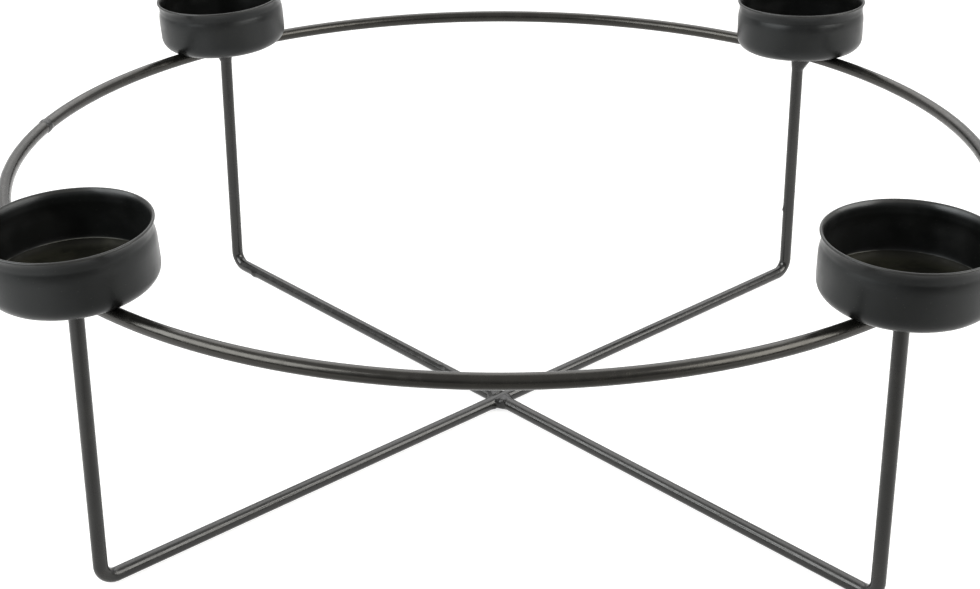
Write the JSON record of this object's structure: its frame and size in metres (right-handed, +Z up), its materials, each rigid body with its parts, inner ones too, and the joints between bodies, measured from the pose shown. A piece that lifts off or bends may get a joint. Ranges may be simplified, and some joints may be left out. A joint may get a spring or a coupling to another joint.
{
  "type": "advent candle holder",
  "caption": "Black wire advent candle holder: a round ring carried on bent legs whose arms cross on the table, with a shallow flared sheet cup for a tealight over each leg.",
  "frame": {"origin": "on the table under the ring's centre, where the floor arms cross", "axes": "+Z up along the ring's axis, -Y to the front as seen in the picture, +X to the viewer's right; the legs stand at 45 degrees to X and Y"},
  "size_m": [0.3042, 0.3042, 0.1103],
  "materials": {
    "black_wire": "satin black coat on steel wire",
    "black_cup": "satin black coat on pressed steel sheet",
    "black_weld": "satin black coat over weld beads"
  },
  "bodies": {
    "root": {"ring_wire": "black_wire", "long_leg_bow": "black_wire", "front_right_leg": "black_wire", "back_left_leg": "black_wire", "candle_cup_front_left": "black_cup", "candle_cup_front_right": "black_cup", "candle_cup_back_right": "black_cup", "candle_cup_back_left": "black_cup", "ring_seam_weld": "black_weld", "leg_weld_front_left": "black_weld", "leg_weld_front_right": "black_weld", "leg_weld_back_right": "black_weld", "leg_weld_back_left": "black_weld", "cup_weld_front_left": "black_weld", "cup_weld_front_right": "black_weld", "cup_weld_back_right": "black_weld", "cup_weld_back_left": "black_weld", "centre_weld_front_right": "black_weld", "centre_weld_back_left": "black_weld"}
  },
  "joints": []
}
